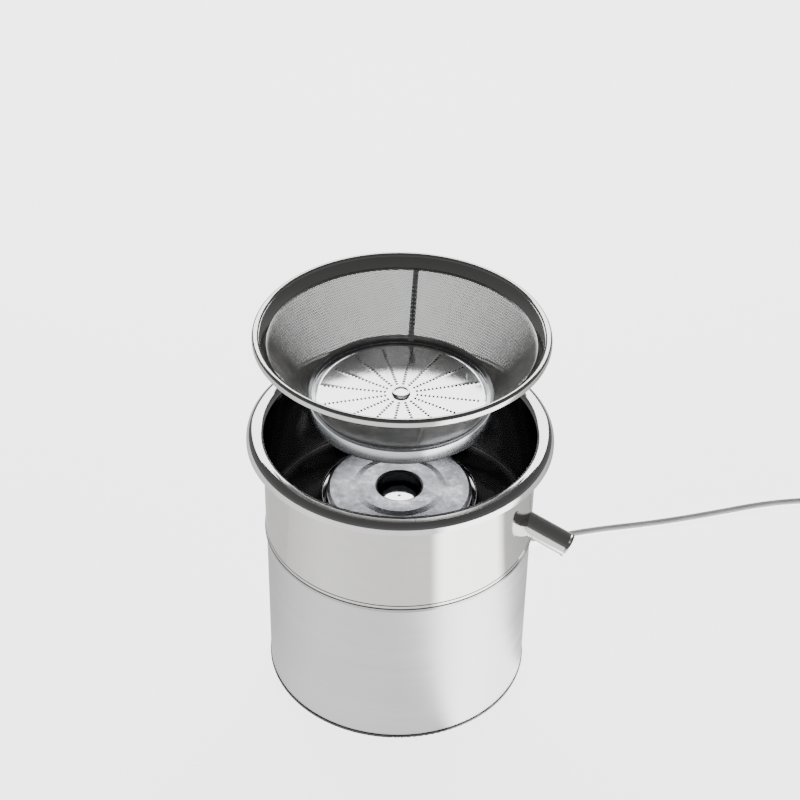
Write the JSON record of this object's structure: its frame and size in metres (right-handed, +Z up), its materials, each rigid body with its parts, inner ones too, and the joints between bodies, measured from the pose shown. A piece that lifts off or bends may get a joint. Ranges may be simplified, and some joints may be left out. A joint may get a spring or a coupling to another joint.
{
  "type": "centrifugal juicer",
  "caption": "Steel centrifugal juicer, lid off, with a conical sieve basket and grater disc raised above the open bowl; side spout and mains cord.",
  "frame": {"origin": "centre of the base where it stands on the table", "axes": "+Z up along the motor axis; +X towards the spout side, -Y towards the front"},
  "size_m": [0.6167, 0.4769, 0.3287],
  "materials": {
    "polished_steel": "polished stainless steel",
    "satin_steel": "satin stainless steel",
    "bowl_steel": "polished stainless steel",
    "mesh_steel": "finely perforated stainless sheet",
    "plain_steel": "plain steel",
    "cast_aluminium": "cast and turned",
    "lamination": "stacked laminations",
    "copper": "enamelled copper winding",
    "carbon": "carbon block",
    "black_plastic": "fine moulded grain",
    "grey_plastic": "smooth moulded",
    "rubber_black": "matt rubber",
    "cord_grey": "smooth pvc",
    "pin_nickel": "nickel plated"
  },
  "bodies": {
    "base": {"lower_housing": "satin_steel", "base_plate": "black_plastic", "rubber_feet": "rubber_black", "foot_screws": "plain_steel", "base_pillars": "plain_steel", "seam_ring": "polished_steel", "upper_housing": "polished_steel", "collector_bowl": "bowl_steel", "bowl_wall": "bowl_steel", "bowl_roll": "polished_steel", "spout_tube": "polished_steel", "motor_deck": "cast_aluminium", "deck_screws": "plain_steel", "bowl_gasket": "rubber_black", "shaft_seal": "rubber_black", "upper_bearing": "plain_steel", "lower_bearing": "plain_steel", "field_core": "lamination", "field_windings": "copper", "lower_bracket": "cast_aluminium", "upper_bracket": "plain_steel", "motor_bolts": "plain_steel", "spacer_tubes": "plain_steel", "vibration_bushes": "rubber_black", "brush_holders": "black_plastic", "carbon_brushes": "carbon", "switch_case": "black_plastic", "switch_terminals": "pin_nickel", "terminal_block": "grey_plastic", "cord_gland": "cord_grey", "mains_cord": "cord_grey", "cord_coil": "cord_grey", "coil_tie": "black_plastic", "cord_tail": "cord_grey", "plug_body": "cord_grey", "plug_pins": "pin_nickel"},
    "rotor": {"motor_shaft": "plain_steel", "armature_core": "lamination", "armature_windings": "copper", "commutator": "copper", "cooling_fan": "grey_plastic", "turntable": "cast_aluminium", "spindle_cap": "polished_steel"},
    "basket": {"basket_rim": "polished_steel", "sieve_cone": "mesh_steel", "seam_strips": "plain_steel", "seam_welds": "plain_steel", "basket_ring": "polished_steel", "grater_disc": "polished_steel", "disc_boss": "polished_steel", "basket_coupling": "cast_aluminium"},
    "rocker": {"switch_rocker": "black_plastic"}
  },
  "joints": [
    {"name": "motor_spin", "type": "hinge", "parent": "base", "child": "rotor", "pos_m": [0, 0, 0.17], "axis": [0, 0, 1], "continuous": true},
    {"name": "basket_lift", "type": "slide", "parent": "rotor", "child": "basket", "axis": [0, 0, 1], "range_m": [-0.081, 0.03]},
    {"name": "power_rocker", "type": "hinge", "parent": "base", "child": "rocker", "pos_m": [-0.02707, 0.10104, 0.042], "axis": [-0.9659, -0.2588, 0], "range_deg": [-15, 0]}
  ]
}
